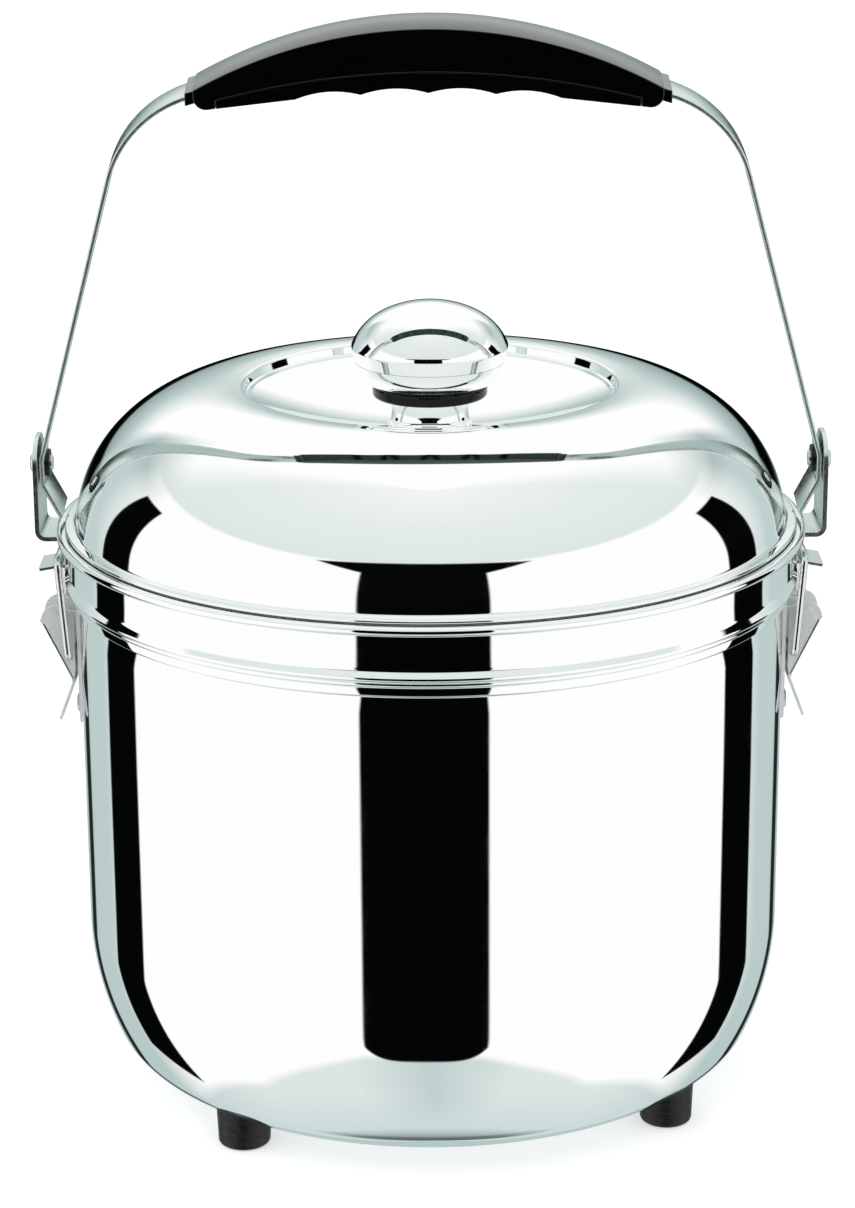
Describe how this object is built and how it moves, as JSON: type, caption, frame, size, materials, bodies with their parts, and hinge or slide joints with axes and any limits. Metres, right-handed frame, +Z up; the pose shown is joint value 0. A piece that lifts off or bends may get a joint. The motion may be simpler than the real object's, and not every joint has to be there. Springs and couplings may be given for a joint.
{
  "type": "insulated chapati casserole",
  "caption": "Tall round polished steel insulated food casserole with lift-off domed lid and knob, side toggle latches, a swinging bail with a black finger grip, and rubber feet",
  "frame": {"origin": "on the table, under the middle of the round vessel: the bottom centre of the bounding box", "axes": "+Z is up, +Y points to the back, and +X is the vessel's right side seen from the front; the latches and the bail's ears stand on the left and right"},
  "size_m": [0.263, 0.2464, 0.3561],
  "materials": {
    "steel_polished": "mirror-polished stainless steel sheet",
    "steel_satin": "satin stainless steel sheet",
    "steel_wire": "bright drawn stainless steel wire",
    "zinc_screws": "zinc plated steel",
    "foot_rubber": "matt moulded rubber",
    "silicone_seal": "translucent white silicone",
    "washer_nylon": "black nylon",
    "grip_plastic": "semi-gloss black moulded plastic",
    "knob_bakelite": "gloss black moulded phenolic",
    "insulation_foam": "rigid foamed insulation"
  },
  "bodies": {
    "root": {"outer_shell": "steel_polished", "vessel_insulation": "insulation_foam", "vessel_liner": "steel_satin", "foot_front_left": "foot_rubber", "foot_front_right": "foot_rubber", "foot_rear_left": "foot_rubber", "foot_rear_right": "foot_rubber", "foot_screws": "zinc_screws", "foot_nuts": "zinc_screws", "inner_pot": "steel_polished", "catch_left": "steel_polished", "catch_right": "steel_polished", "ear_left": "steel_polished", "ear_right": "steel_polished", "bail_rivet_left": "steel_polished", "bail_rivet_right": "steel_polished", "pivot_washer_left": "washer_nylon", "pivot_washer_right": "washer_nylon", "latch_base_left": "steel_polished", "latch_base_right": "steel_polished", "latch_base_rivets": "steel_polished", "lever_pin_left": "steel_polished", "lever_pin_right": "steel_polished"},
    "lid": {"lid_shell": "steel_polished", "lid_pan": "steel_satin", "lid_insulation": "insulation_foam", "lid_seal": "silicone_seal", "knob_stem": "steel_polished", "knob_collar": "knob_bakelite", "knob_dish": "steel_polished", "knob_cap": "steel_polished", "knob_stud": "zinc_screws", "knob_washer": "zinc_screws", "knob_nut": "zinc_screws"},
    "bail": {"bail_strip": "steel_polished", "grip_cover": "grip_plastic", "grip_insert": "grip_plastic", "grip_screws": "zinc_screws"},
    "lever_left": {"lever_left": "steel_polished"},
    "lever_right": {"lever_right": "steel_polished"},
    "loop_left": {"loop_left": "steel_wire"},
    "loop_right": {"loop_right": "steel_wire"}
  },
  "joints": [
    {"name": "lid_lift", "type": "slide", "parent": "root", "child": "lid", "axis": [0, 0, 1], "range_m": [0, 0.038]},
    {"name": "bail_swing", "type": "hinge", "parent": "root", "child": "bail", "pos_m": [0, 0, 0.2082], "axis": [1, 0, 0], "range_deg": [-106, 90]},
    {"name": "lever_left_open", "type": "hinge", "parent": "root", "child": "lever_left", "pos_m": [-0.1241, 0, 0.1557], "axis": [0, 1, 0], "range_deg": [0, 120]},
    {"name": "lever_right_open", "type": "hinge", "parent": "root", "child": "lever_right", "pos_m": [0.1241, 0, 0.1557], "axis": [0, -1, 0], "range_deg": [0, 120]},
    {"name": "loop_left_swing", "type": "hinge", "parent": "lever_left", "child": "loop_left", "pos_m": [-0.1206, 0, 0.143], "axis": [0, 1, 0], "range_deg": [-150, 0]},
    {"name": "loop_right_swing", "type": "hinge", "parent": "lever_right", "child": "loop_right", "pos_m": [0.1206, 0, 0.143], "axis": [0, -1, 0], "range_deg": [-150, 0]}
  ],
  "couplings": [
    {"joint": "loop_left_swing", "follows": "lever_left_open", "ratio": -1.25},
    {"joint": "loop_right_swing", "follows": "lever_right_open", "ratio": -1.25}
  ]
}
